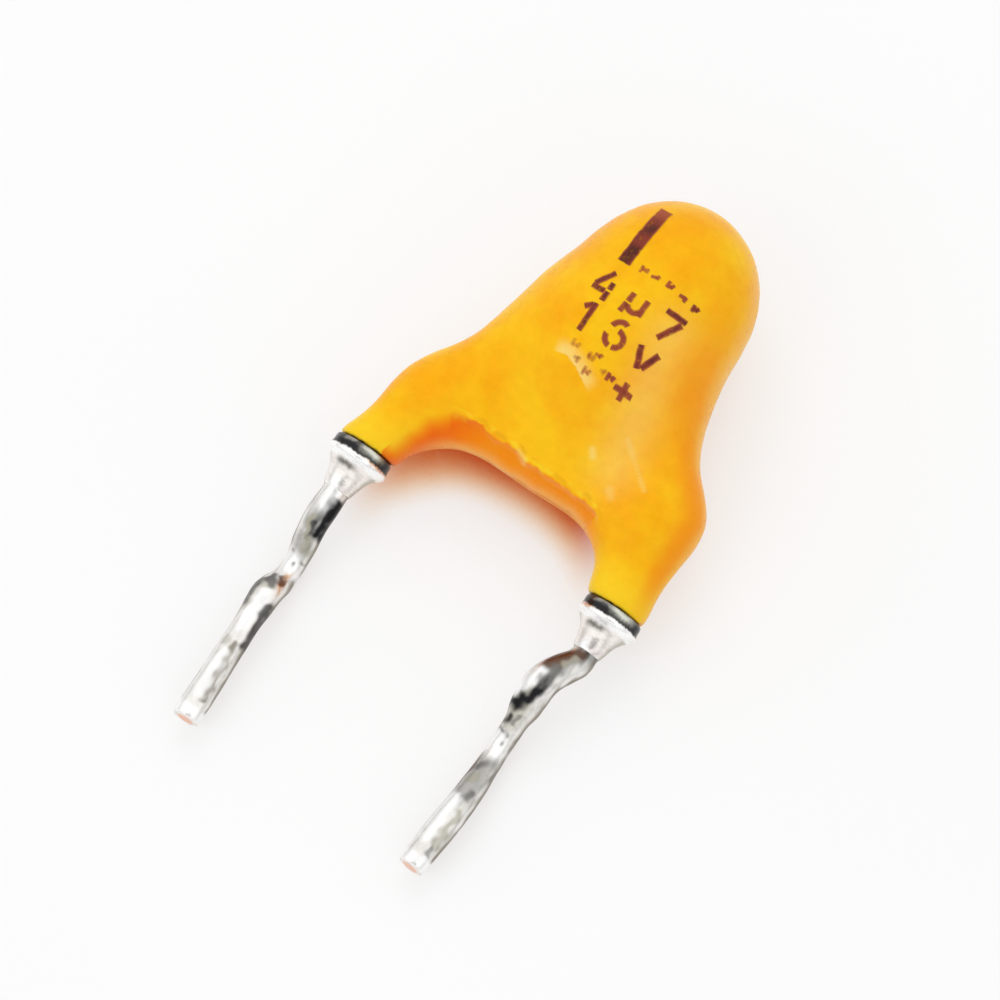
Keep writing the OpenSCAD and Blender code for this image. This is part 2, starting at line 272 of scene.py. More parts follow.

# %% Paper with a painted warm shade under the arch
TINT_REACH, TINT_MIDDLE, TINT_FADE = 1.2 * MM, (-0.65 * MM, 0.45 * MM, 0), 4 * MM
TOWARDS_ARCH = (-0.25, 0.5, 0.83)
OWN_LIGHT = 0.6
bench_white = bpy.data.materials.new("bench_white")
bench_white.use_nodes = True
tree = bench_white.node_tree
tree.nodes.clear()
spot = node(tree, "ShaderNodeTexCoord").outputs["Object"]
grain = node(tree, "ShaderNodeTexNoise", {"Scale": 60, "Detail": 2}, {"Vector": spot})
tone = ramp(tree, grain.outputs["Fac"], [(0.3, (0.90, 0.90, 0.91)), (0.7, (0.93, 0.93, 0.93))])
open_sky = node(tree, "ShaderNodeAmbientOcclusion",
                {"Distance": TINT_REACH, "Normal": TOWARDS_ARCH}, samples=20)
# painted shade: how closed in each spot is turns into a warm brown shadow colour, fading away from
# the arch
painted_warm_shade = ramp(tree, open_sky.outputs["AO"], [
    (0.36, (0.50, 0.0, 0.0)), (0.5, (0.71, 0.22, 0.05)), (0.56, (0.83, 0.46, 0.24)),
    (0.62, (0.91, 0.68, 0.47)), (0.7, (0.98, 0.89, 0.80)), (0.8, (1, 1, 1))])
from_arch = node(tree, "ShaderNodeVectorMath", {1: TINT_MIDDLE}, {0: spot},
                 operation="DISTANCE")
far = node(tree, "ShaderNodeMath", {1: 1 / TINT_FADE}, {0: from_arch.outputs["Value"]},
           operation="MULTIPLY")
away = ramp(tree, far.outputs[0], [(0.36, 0.0), (0.68, 0.95)], "EASE")
painted_warm_shade = node(tree, "ShaderNodeMix", {7: (1, 1, 1, 1)}, {0: away, 6: painted_warm_shade},
              data_type="RGBA").outputs[2]
warm_tone = node(tree, "ShaderNodeMix", {0: 1.0}, {6: tone, 7: painted_warm_shade}, data_type="RGBA",
                 blend_type="MULTIPLY").outputs[2]
matt = node(tree, "ShaderNodeBsdfDiffuse", links={"Color": warm_tone})
glow = node(tree, "ShaderNodeEmission", {"Strength": 1.0}, {"Color": painted_warm_shade})
rays = node(tree, "ShaderNodeLightPath")
seen = node(tree, "ShaderNodeMath", links={0: rays.outputs["Is Camera Ray"],
            1: rays.outputs["Is Glossy Ray"]}, operation="MAXIMUM")
seen = node(tree, "ShaderNodeMath", links={0: seen.outputs[0],
            1: rays.outputs["Is Transmission Ray"]}, operation="MAXIMUM")
share = node(tree, "ShaderNodeMath", {1: OWN_LIGHT}, {0: seen.outputs[0]},
             operation="MULTIPLY")
both = node(tree, "ShaderNodeMixShader", links={
    "Fac": share.outputs[0], 1: matt.outputs[0], 2: glow.outputs[0]})
node(tree, "ShaderNodeOutputMaterial", links={"Surface": both.outputs[0]})
mesh.materials.append(bench_white)
print("the paper gives", OWN_LIGHT, "of its light itself and has", len(tree.nodes), "nodes")

# %% [markdown]
# ## Resin bead
# The real coating is liquid epoxy that the slug and its leads were dipped in, so it has no edge
# anywhere but at the arch between the legs, where it drained and left a ragged lip. The solid
# gives its form in flat facets. A fine remesh turns the outside into an even clay, which is
# smoothed first and then sculpted with small pushes.

# %% Keep only the outside of the resin
TOUCHING = 0.004
CLAY_CELL = 0.05

def outer_skin():
    """The resin without the walls of its cavity, closed where its legs were cut square."""
    bm = solid_copy("resin_coat")
    inner = bmesh.new()
    for name, solid in nodes.items():
        if name != "resin_coat":
            inner.from_mesh(solid.data)
    bmesh.ops.transform(inner, matrix=stand_up @ Matrix.Scale(1 / MM, 4), verts=inner.verts)
    tree = BVHTree.FromBMesh(inner)
    inner.free()
    hidden = [f for f in bm.faces
              if tree.find_nearest(f.calc_center_median(), TOUCHING)[0] is not None]
    bmesh.ops.delete(bm, geom=hidden, context="FACES")
    rims = [e for e in bm.edges if e.is_boundary]
    bmesh.ops.holes_fill(bm, edges=rims, sides=0)
    print("dropped", len(hidden), "inner faces and closed", len(rims), "rim edges")
    return bm

skin = through_modifiers(outer_skin(), [
    ("REMESH", {"mode": "VOXEL", "voxel_size": CLAY_CELL}),
    ("SMOOTH", {"factor": 0.5, "iterations": 40}),
])
print("the clay has", len(skin.faces), "faces")

# %% [markdown]
# The lip of the arch and the edge of a thin flake on the face are lines of a few points. The
# clay is cut finer beside them, and then each vertex near a line is pushed along its normal.

# %% Cut the clay finer beside the sharp features
LIP = [(-2.12, 0.30), (-2.04, 0.60), (-1.86, 1.00), (-1.54, 1.25), (-1.18, 1.35), (-0.89, 1.33),
       (-0.47, 1.30), (0.04, 1.24), (0.50, 1.24), (1.05, 1.23), (1.51, 1.17), (1.80, 0.84)]
FLAKE = [(-0.62, 2.93), (-0.32, 2.97), (-0.06, 2.87), (0.16, 2.75), (0.34, 2.62)]

def cut_finer(bm, line, reach, times):
    """Splits the edges of the upper face that lie within reach of a line."""
    for _ in range(times):
        near = [e for e in bm.edges
                if all(v.co.z > 0.1 and along_line(v.co, line)[0] < reach for v in e.verts)]
        bmesh.ops.subdivide_edges(bm, edges=near, cuts=1, use_grid_fill=True)
    print("finer beside a line:", len(bm.faces), "faces")

cut_finer(skin, LIP, 0.2, 2)
cut_finer(skin, FLAKE, 0.12, 1)

# %% Sculpt the lip, the flake and the hand-made waviness
def ragged(x, seed):
    """A jagged wander of about plus or minus one."""
    return noise.noise((x * 2.3, seed, 0)) + 0.35 * noise.noise((x * 5, seed, 5))

def lip_place(p):
    """How far a point is inside the face (+) or down the arch (-), and how crisp the lip is."""
    off, run, side = along_line(p, LIP)
    crisp = ease(0.9, 1.6, run) * (1 - ease(4.1, 4.5, run))
    return side * off + (0.03 + 0.04 * crisp) * ragged(run, 3), crisp

def skin_push(p):
    """How far a point of the clay moves out along its normal, in millimetres."""
    push = 0.012 * noise.noise(p * 1.1) + 0.004 * noise.noise(p * 3.3)
    if p.z > 0:
        off, crisp = lip_place(p)
        crest = bell(off, 0.2) if off > 0 else 1 - ease(0, 0.16 - 0.1 * crisp, -off)
        wall = ease(0.02, 0.14, -off) * (1 - ease(0.2, 0.42, -off))
        push += crisp * (0.04 * crest - 0.055 * wall) + (1 - crisp) * 0.01 * crest
        off, run, side = along_line(p, FLAKE)
        if off < 0.3:
            ends = ease(0, 0.25, run) * (1 - ease(0.75, 1.05, run))
            push += ends * 0.012 * (side > 0) * (1 - ease(0, 0.26, off))
    return push

skin.normal_update()
pushes = [(v, v.normal * skin_push(v.co)) for v in skin.verts]
for v, push in pushes:
    v.co += push
print("largest push", round(max(push.length for _, push in pushes), 3), "mm")

# %% [markdown]
# The colour of the resin changes where it is thin, drained or chipped, and light and shade are
# painted into it too: painted shade on the side that turns away and on the wall of the arch, a
# painted reflection of the pale floor low on that wall, and painted highlights as a sheen, a
# light rim and crumbs along the lip. Such places follow the surface, so they are airbrushed onto
# the vertices as a colour with an amount. The material later lays this over the pigment.

# %% Paints, and one coat over another
# The deep, red, amber and brown paints and the dark lip colour are painted shade; salmon is a
# painted floor reflection; the rim colour is a painted highlight
DEEP_WALL_SHADE, RED_CORNER_SHADE, SALMON_FLOOR_REFLECTION = (0.94, 0.27, 0.0), (0.86, 0.10, 0.0), (0.93, 0.42, 0.08)
LEMON, PALE, AMBER_SIDE_SHADE = (0.97, 0.66, 0.02), (0.97, 0.70, 0.22), (0.92, 0.28, 0.004)
RIM_HIGHLIGHT, LIP_SHADE_CRUMB, BROWN_CONTACT_SHADE = (0.95, 0.50, 0.12), (0.66, 0.30, 0.005), (0.5, 0.11, 0.03)
SOOT = (0.03, 0.03, 0.03)

def over(paint, colour, amount):
    """Lays more paint over a (colour, amount) pair."""
    old, held = paint
    total = amount + held * (1 - amount)
    if total <= 0:
        return paint
    share = amount / total
    return tuple(share * c + (1 - share) * o for c, o in zip(colour, old)), total
print("half a coat of red over half a coat of lemon:", over((LEMON, 0.5), RED_CORNER_SHADE, 0.5))

# %% Paint for the face and the flank, with a painted sheen, side shade and rim highlight
PAINTED_SHEEN_LINE = [(1.0, 4.2), (1.35, 1.9)]

def paint_face(paint, p, normal):
    """A painted sheen highlight, painted amber shade where the skin turns away, a painted light
    rim, and lemon towards the legs.
    """
    # painted highlight: a pale sheen along a line across the face
    sheen = along_line(p, PAINTED_SHEEN_LINE)[0]
    paint = over(paint, PALE, 0.28 * bell(sheen, 0.42) * ease(0.0, 0.4, normal.z))
    # painted shade: amber where the skin turns away from the light
    turned = max(normal.x, 0.86 * normal.x + 0.51 * normal.y)
    side = ease(0.4, 0.82, turned) * (1 - ease(3.8, 5.8, p.y)) * ease(-0.9, 0.1, normal.z)
    paint = over(paint, AMBER_SIDE_SHADE, 0.7 * side * (1 - 0.6 * ease(0.88, 1.0, turned)))
    # painted highlight: a light rim where the skin turns furthest away
    paint = over(paint, RIM_HIGHLIGHT, 0.35 * ease(0.88, 1.0, turned) * ease(0.9, 1.8, p.y))
    return over(paint, LEMON, 0.6 * (1 - ease(0.1, 0.9, p.y)) * ease(-0.2, 0.3, normal.z))
flank = paint_face((PALE, 0.0), Vector((2, 3, 0)), Vector((0.8, 0, 0.6)))
print("paint on the flank:", round(flank[1], 2))

# %% Paint for the arch, with painted shade and a painted floor reflection
HALF_WEB = 0.62

def paint_arch(paint, p, normal):
    """Painted shade on the wall, deep and red in its corner, a painted floor reflection in salmon
    where it is thin, and crumbs under the lip.
    """
    off, crisp = lip_place(p)
    if off >= 0.1 or abs(p.x) >= 2.4 or p.y >= 1.7:
        return paint
    drop = 1 - p.z / HALF_WEB
    torn = off + 0.035 * crisp * noise.noise((p.x * 9, p.y * 9, 1))
    inner = ease(-0.1, 0.25, -normal.y * 0.8 + abs(normal.x) * 0.6 * (normal.x * p.x < 0))
    wall = inner * ease(0.0, 0.05 + 0.33 * (1 - crisp), -torn) * ease(-0.8, -0.2, p.z)
    wall *= 1 - ease(1.3, 1.95, p.x)
    # painted shade: the wall under the lip deep orange, and red towards its corner by the left leg
    paint = over(paint, DEEP_WALL_SHADE, 0.95 * wall)
    paint = over(paint, RED_CORNER_SHADE, 0.9 * wall * (1 - ease(-1.8, -0.5, p.x + 0.3 * drop)))
    # painted reflection of the pale floor, salmon low on the wall where the resin is thin
    paint = over(paint, SALMON_FLOOR_REFLECTION, 0.8 * wall * ease(0.38, 0.82, drop + 0.1 * ragged(p.x, 9))
                 * ease(-2.1, -1.1, p.x))
    # painted shade: brown along the bottom edge of the wall
    paint = over(paint, BROWN_CONTACT_SHADE, 0.35 * inner * ease(0.86, 1.02, drop) * ease(-1.6, -0.8, p.x)
                 * (1 - ease(0.7, 1.5, p.x)) * ease(-0.4, -0.1, p.z))
    crumb = noise.noise(p * 7)
    # crumbs along the lip: pale ones partly chipped resin and partly painted highlight, dark olive
    # ones painted shade
    paint = over(paint, LEMON, 0.75 * crisp * bell(torn - 0.03, 0.04) * ease(0.05, 0.3, crumb))
    return over(paint, LIP_SHADE_CRUMB, 0.35 * crisp * bell(torn - 0.05, 0.05) * ease(0.05, 0.3, -crumb))
arch = paint_arch((PALE, 0.0), Vector((0, 1, 0.3)), Vector((0, -0.7, 0.7)))
print("paint on the wall of the arch:", round(arch[1], 2))

# %% Paint for the flake and the chips
# Chips: where they start and end, their width, and how much paint they take
CHIPS = [((0.84, 1.96), (0.92, 1.84), 0.05, 0.6), ((1.26, 2.40), (1.98, 1.82), 0.035, 0.45),
         ((1.48, 1.54), (1.56, 1.44), 0.07, 0.35), ((-0.22, 1.28), (-0.06, 1.20), 0.05, 0.4)]

def paint_worn(paint, p):
    """Pale resin behind the edge of the flake, and along each chip."""
    off, run, side = along_line(p, FLAKE)
    if side > 0 and off < 0.5:
        paint = over(paint, PALE, 0.75 * ease(0, 0.2, run) * (1 - ease(0.8, 1.05, run))
                     * (1 - ease(0.02, 0.3, off + 0.08 * ragged(p.y, 4))))
    for start, end, width, amount in CHIPS:
        off = along_line(p, [start, end])[0] + 0.8 * width * noise.noise(p * 6)
        if off < 2 * width:
            paint = over(paint, PALE, amount * (1 - ease(0.0, 1.6 * width, off)))
    return paint
print("chips:", len(CHIPS))

# %% Airbrush every vertex
def airbrush(p, normal):
    """All the coats at one place, painted light and shade among them, ending with soot where a leg
    meets its hot solder.
    """
    paint = paint_face((PALE, 0.0), p, normal)
    paint = paint_arch(paint, p, normal)
    if p.z > 0:
        paint = paint_worn(paint, p)
    edge = 0.02 + 0.05 * abs(ragged(p.x * 2 + p.z, 6))
    return over(paint, SOOT, 0.9 * (1 - ease(0.4 * edge, edge, p.y)))

skin.normal_update()
tint = skin.verts.layers.float_color.new("tint")
for v in skin.verts:
    colour, amount = airbrush(v.co, v.normal)
    v[tint] = (*colour, amount)
print("painted vertices:", sum(v[tint][3] > 0.01 for v in skin.verts), "of", len(skin.verts))
bead = finish_piece(skin, "resin_bead", "resin", ["resin_coat"])

# %% [markdown]
# ## Resin
# Dipped epoxy is a pigmented, slightly cloudy plastic: light goes in a little way and comes out
# warmer, so the thin rims glow and the shaded side turns a deeper orange. A Principled shader
# with a short subsurface radius does this. The pigment is never quite even, so slow noise
# drifts it, and where a finish changes over the surface it reads the part's own axes.

# %% A group that gives a place on the part's own axes
def new_group(name, inputs, outputs):
    """A shader node group with named sockets; returns it with its two end nodes."""
    group = bpy.data.node_groups.new(name, "ShaderNodeTree")
    for title, kind, default in inputs:
        socket = group.interface.new_socket(title, in_out="INPUT", socket_type=kind)
        if default is not None:
            socket.default_value = default
    for title, kind in outputs:
        group.interface.new_socket(title, in_out="OUTPUT", socket_type=kind)
    return group, group.nodes.new("NodeGroupInput"), group.nodes.new("NodeGroupOutput")

part_place, ends_in, ends_out = new_group("part_place", [], [("Place", "NodeSocketVector")])
where = node(part_place, "ShaderNodeTexCoord").outputs["Object"]
millimetres = node(part_place, "ShaderNodeVectorMath", {3: 1 / MM}, {0: where}, operation="SCALE")
shifted = node(part_place, "ShaderNodeVectorMath", {1: (0, MIDDLE_Y, -LIFT)},
               {0: millimetres.outputs[0]}, operation="ADD")
turned = node(part_place, "ShaderNodeVectorRotate", {"Angle": -TILT},
              {"Vector": shifted.outputs[0]}, rotation_type="X_AXIS")
part_place.links.new(turned.outputs[0], ends_out.inputs["Place"])
print("group:", part_place.name)

# %% A group for a slow drift between two colours
drift, ends_in, ends_out = new_group(
    "drift", [("Place", "NodeSocketVector", None), ("Scale", "NodeSocketFloat", 1.0),
              ("Low", "NodeSocketColor", (0, 0, 0, 1)), ("High", "NodeSocketColor", (1, 1, 1, 1))],
    [("Color", "NodeSocketColor"), ("Mask", "NodeSocketFloat")])
cloud = node(drift, "ShaderNodeTexNoise", {"Detail": 4, "Roughness": 0.55},
             {"Vector": ends_in.outputs["Place"], "Scale": ends_in.outputs["Scale"]})
spread = ramp(drift, cloud.outputs["Fac"], [(0.32, 0.0), (0.68, 1.0)], "EASE")
mixed = node(drift, "ShaderNodeMix", links={0: spread, 6: ends_in.outputs["Low"],
                                            7: ends_in.outputs["High"]}, data_type="RGBA")
drift.links.new(mixed.outputs[2], ends_out.inputs["Color"])
drift.links.new(spread, ends_out.inputs["Mask"])
print("group:", drift.name)

# %% Helpers for materials
def start_material(name):
    """An empty material with its place on the part; returns (material, tree, place)."""
    made = bpy.data.materials.new(name)
    made.use_nodes = True
    made.node_tree.nodes.clear()
    place = node(made.node_tree, "ShaderNodeGroup", node_tree=part_place)
    return made, made.node_tree, place.outputs["Place"]

def end_material(tree, values, links):
    """A Principled shader with these sockets, joined to the output."""
    shader = node(tree, "ShaderNodeBsdfPrincipled", values, links)
    node(tree, "ShaderNodeOutputMaterial", links={"Surface": shader.outputs[0]})

def blend(tree, fac, low, high, way="MIX"):
    """Mixes two colours; each may be a colour or a socket, and so may the amount."""
    made = node(tree, "ShaderNodeMix", data_type="RGBA", blend_type=way)
    for key, value in ((0, fac), (6, low), (7, high)):
        if isinstance(value, bpy.types.NodeSocket):
            tree.links.new(value, made.inputs[key])
        else:
            made.inputs[key].default_value = (*value, 1) if key else value
    return made.outputs[2]
print("material helpers:", [f.__name__ for f in (start_material, end_material, blend)])

# %% Resin material
resin, tree, place = start_material("orange_epoxy")
pigment = node(tree, "ShaderNodeGroup", {"Scale": 0.9, "Low": (0.97, 0.425, 0.0, 1),
               "High": (0.99, 0.56, 0.004, 1)}, {"Place": place}, node_tree=drift)
flecks = node(tree, "ShaderNodeGroup", {"Scale": 5.0, "Low": (0.95, 0.93, 0.8, 1),
              "High": (1, 1, 1, 1)}, {"Place": place}, node_tree=drift)
body = blend(tree, 1.0, pigment.outputs["Color"], flecks.outputs["Color"], "MULTIPLY")
paint = node(tree, "ShaderNodeAttribute", attribute_name="tint", attribute_type="GEOMETRY")
colour = blend(tree, paint.outputs["Alpha"], body, paint.outputs["Color"])
peel = node(tree, "ShaderNodeTexNoise", {"Scale": 2.6, "Detail": 1, "Roughness": 0.4},
            {"Vector": place})
bump = node(tree, "ShaderNodeBump", {"Strength": 0.15, "Distance": 0.01 * MM},
            {"Height": peel.outputs["Fac"]})
gloss = ramp(tree, flecks.outputs["Mask"], [(0.0, 0.26), (1.0, 0.36)])
end_material(tree, {"IOR": 1.5, "Specular IOR Level": 0.12,
                    "Subsurface Weight": 0.3, "Subsurface Scale": 0.3 * MM,
                    "Subsurface Radius": (1.0, 0.35, 0.06)},
             {"Base Color": colour, "Roughness": gloss, "Normal": bump.outputs["Normal"]})
bead.data.materials.append(resin)
print("resin material has", len(tree.nodes), "nodes")

# %% [markdown]
# ## Print
# A pad printed the polarity bar, a plain rating and a plus sign in brown stencil strokes. A text
# object could do it, but its letters are too even and would float over the curve. Here each
# stroke is a narrow grid laid along a line or an arc, then dropped onto the resin by a ray, so
# it bends with the skin. Each vertex knows how hard the pad pressed there, and the material
# turns a light press redder and thinner.

# %% Lay strokes on the resin
INK_LIFT = 0.005
skin_mesh = bmesh.new()
skin_mesh.from_mesh(bead.data)
bmesh.ops.transform(skin_mesh, matrix=stand_up @ Matrix.Scale(1 / MM, 4), verts=skin_mesh.verts)
skin_tree = BVHTree.FromBMesh(skin_mesh)
print("ink will land on", len(skin_mesh.faces), "faces")
skin_mesh.free()

def line(x0, y0, x1, y1):
    """A straight stroke, as a function of t from 0 to 1."""
    return lambda t: Vector((x0 + (x1 - x0) * t, y0 + (y1 - y0) * t))

def arc(x, y, rx, ry, start, end):
    """A stroke along an ellipse, by its angles in degrees."""
    return lambda t: Vector((x + rx * math.cos(math.radians(start + (end - start) * t)),
                             y + ry * math.sin(math.radians(start + (end - start) * t))))

# %% One stroke of ink
def lay_stroke(bm, path, width, at=(0, 0), rough=0.01, strength=lambda t: 1.0):
    """Adds a narrow grid that follows path from above and lies on the skin."""
    length = sum((path((i + 1) / 8) - path(i / 8)).length for i in range(8))
    fade = bm.verts.layers.float.get("fade") or bm.verts.layers.float.new("fade")
    made = bmesh.ops.create_grid(bm, x_segments=max(3, round(length / 0.025)),
                                 y_segments=max(6, round(width / 0.02)), size=0.5)
    for v in made["verts"]:
        t, across = v.co.x + 0.5, v.co.y * width
        here = path(t)
        ahead = (path(t + 0.01) - path(t - 0.01)).normalized()
        spot = here + Vector((-ahead.y, ahead.x)) * across + Vector(at)
        shake = noise.noise_vector((spot.x * 9, spot.y * 9, 1)) * rough
        spot += Vector((shake.x, shake.y))
        hit, normal, _, _ = skin_tree.ray_cast(Vector((spot.x, spot.y, 5)), Vector((0, 0, -1)))
        v.co = hit + normal * INK_LIFT
        soft = min(0.045, 0.3 * width)
        v[fade] = strength(t) * (1 - ease(width / 2 - soft, width / 2, abs(across)))
print("ink lies", INK_LIFT, "mm above the resin")

# %% The signs, drawn about their own middles in millimetres
STROKE = 0.125
SIGNS = {
    "four": [line(0.03, 0.27, -0.17, -0.05), line(-0.2, -0.1, 0.05, -0.1),
             line(0.11, 0.1, 0.11, -0.04), line(0.11, -0.08, 0.11, -0.27)],
    "micro": [line(-0.14, 0.16, -0.14, -0.02), line(-0.15, -0.05, -0.17, -0.24),
              arc(0, -0.02, 0.13, 0.13, 200, 335), line(0.14, 0.16, 0.14, -0.16)],
    "seven": [line(-0.18, 0.22, 0.19, 0.22), line(0.15, 0.15, -0.06, -0.27)],
    "one": [line(0.02, 0.27, 0.02, -0.27), line(-0.13, 0.13, -0.02, 0.23)],
    "six": [arc(0.02, 0.0, 0.17, 0.23, 65, 158), arc(0.01, -0.08, 0.16, 0.15, 172, 262),
            arc(0.01, -0.08, 0.16, 0.15, 282, 450)],
    "volt": [line(-0.17, 0.17, -0.03, -0.2), line(0.16, 0.19, 0.03, -0.16)],
    "plus": [line(-0.17, 0, 0.17, 0), line(0, 0.16, 0, -0.16)],
}
# Rows: sign, where its middle is, and how hard it was pressed
ROWS = [("four", -0.43, 4.30, 0.9), ("micro", 0.21, 4.28, 0.68), ("seven", 0.86, 4.28, 0.9),
        ("one", -0.38, 3.68, 0.95), ("six", 0.22, 3.68, 0.7), ("volt", 0.83, 3.60, 0.95),
        ("plus", 0.81, 2.97, 0.75)]
BAR, BAR_WIDTH = line(-0.405, 4.80, -0.37, 5.99), 0.28
ink = bmesh.new()
lay_stroke(ink, BAR, BAR_WIDTH, rough=0.015,
           strength=lambda t: 1 - 0.45 * ease(0.72, 0.95, t))
for sign, x, y, pressed in ROWS:
    for stroke in SIGNS[sign]:
        lay_stroke(ink, stroke, STROKE, (x, y), strength=lambda t: pressed)
print("strokes laid:", 1 + sum(len(SIGNS[row[0]]) for row in ROWS))

# %% Worn specks of two tiny rows
SPECK_WIDTH = 0.08

def speck_row(bm, places, size, seed):
    """A few short dashes at each place, too worn to be any sign."""
    for i, (x, y, pressed) in enumerate(places):
        dashes = ((-0.3, 0.0, 1.0), (0.35, 0.2, 0.7), (0.0, 0.7, 0.1))
        for k, (dx, slant, tall) in enumerate(dashes[i % 2:]):
            shift = noise.noise_vector((i * 3.7 + k * 1.9, seed, 0.5)) * 0.35 * size
            a = Vector((x + dx * size - slant * size / 2, y - tall * size / 2)) + shift.xy
            b = Vector((x + dx * size + slant * size / 2, y + tall * size / 2)) + shift.xy * 0.4
            lay_stroke(bm, line(a.x, a.y, b.x, b.y), SPECK_WIDTH, strength=lambda t: pressed)

speck_row(ink, [(-0.04, 4.86, 0.35), (0.20, 4.86, 0.45), (0.50, 4.87, 0.5), (0.76, 4.83, 0.65),
                (1.04, 4.78, 0.8)], 0.13, 2)
speck_row(ink, [(-0.28, 3.20, 0.15), (-0.16, 3.02, 0.2), (0.06, 3.14, 0.2), (0.17, 3.22, 0.35),
                (0.12, 2.92, 0.25), (0.36, 3.06, 0.15), (0.52, 3.04, 0.6)], 0.14, 8)
print("print has", len(ink.faces), "small faces")
print_marks = finish_piece(ink, "printed_marks", "resin")

# %% Ink material
ink_brown, tree, place = start_material("worn_brown_ink")
tone = node(tree, "ShaderNodeGroup", {"Scale": 3.2, "Low": (0.085, 0.014, 0.010, 1),
            "High": (0.24, 0.036, 0.018, 1)}, {"Place": place}, node_tree=drift)
wear = node(tree, "ShaderNodeTexNoise", {"Scale": 8, "Detail": 5, "Roughness": 0.75},
            {"Vector": place})
cover = ramp(tree, wear.outputs["Fac"], [(0.34, 0.5), (0.47, 0.88), (0.6, 1.0)])
faint = node(tree, "ShaderNodeAttribute", attribute_name="fade", attribute_type="GEOMETRY")
thick = ramp(tree, faint.outputs["Fac"], [(0.5, 0.0), (0.92, 1.0)])
tone = blend(tree, thick, (0.40, 0.075, 0.035), tone.outputs["Color"])
held = ramp(tree, faint.outputs["Fac"], [(0.0, 0.0), (0.2, 0.4), (0.5, 0.88), (0.85, 1.0)])
cover = blend(tree, 1.0, cover, held, "MULTIPLY")
end_material(tree, {"Roughness": 0.45, "Specular IOR Level": 0.2},
             {"Base Color": tone, "Alpha": cover})
print_marks.data.materials.append(ink_brown)
print("ink material has", len(tree.nodes), "nodes")

# %% [markdown]
# ## Leads
# Each lead is tinned copper wire. Pliers pinched it where it was crimped, so it narrows in the
# dips and swells over the humps, and the cutters left a copper face in a ring of tin. The solid
# has the bends but a constant round section. A fine remesh of it is squeezed about its own
# centre line, with a width and a height factor at chosen distances from the resin. Flux, pliers
# and fingers left dull marks on the tin, which are painted on the vertices together with painted
# light: shade on the flanks, highlights and dark reflections.

# %% Centre lines and squeezes
NEGATIVE = [(-2.54, 0.4, 0), (-2.54, -1.5, 0), (-2.49, -2.34, -0.46), (-2.53, -2.96, -0.017),
            (-2.37, -5.5, 0.34)]
POSITIVE = [(2.54, 0.4, 0), (2.54, -1.02, 0), (2.24, -1.62, 0.26), (2.18, -2.92, -0.313),
            (2.27, -4.12, 0.146), (2.19, -5.5, 0.34)]
# Distance from the resin as y, width factor, height factor
NEGATIVE_SQUEEZE = [(0, 1, 1), (-0.9, 0.98, 1), (-1.3, 1.05, 1), (-1.8, 1.0, 0.96),
                    (-2.2, 0.82, 0.92), (-2.45, 0.8, 0.92), (-2.75, 1.1, 0.95), (-3.1, 1.1, 1),
                    (-3.7, 0.93, 1), (-4.3, 1.0, 0.97), (-5.0, 1.04, 1), (-5.6, 1.02, 1)]
POSITIVE_SQUEEZE = [(0, 1, 1), (-0.9, 0.98, 1), (-1.2, 1.15, 1.02), (-1.7, 1.28, 1.04),
                    (-2.1, 1.2, 1), (-2.5, 0.86, 0.95), (-2.95, 0.78, 0.92), (-3.3, 0.88, 1),
                    (-3.9, 1.02, 1), (-4.6, 1.12, 1), (-5.2, 1.05, 1), (-5.6, 1.0, 1)]

def nearest_on(p, path):
    """The nearest point of a centre line, and the line's direction there."""
    best = None
    for a, b in zip(path, path[1:]):
        a, b = Vector(a), Vector(b)
        t = min(1, max(0, (p - a).dot(b - a) / (b - a).length_squared))
        spot = a.lerp(b, t)
        if best is None or (p - spot).length < best[0]:
            best = ((p - spot).length, spot, (b - a).normalized())
    return best[1], best[2]

def factors_at(y, table):
    """Width and height factors at y, eased between the rows of a table."""
    for (y0, w0, h0), (y1, w1, h1) in zip(table, table[1:]):
        if y1 <= y <= y0:
            t = ease(0, 1, (y0 - y) / (y0 - y1))
            return w0 + (w1 - w0) * t, h0 + (h1 - h0) * t
    return 1, 1
print("half way to its crimp the negative wire is squeezed by", factors_at(-2.0, NEGATIVE_SQUEEZE))

# %% Marks left by pliers, flux and handling, and painted highlights and reflections
BLACK, GREY, RUST = (0.02, 0.02, 0.022), (0.17, 0.165, 0.155), (0.14, 0.08, 0.055)
OLIVE, TARNISH_AND_FLANK_SHADE, COPPER = (0.40, 0.38, 0.30), (0.19, 0.155, 0.11), (0.86, 0.50, 0.36)
WHITE, PEARL = (1.0, 1.0, 0.99), (0.93, 0.88, 0.84)
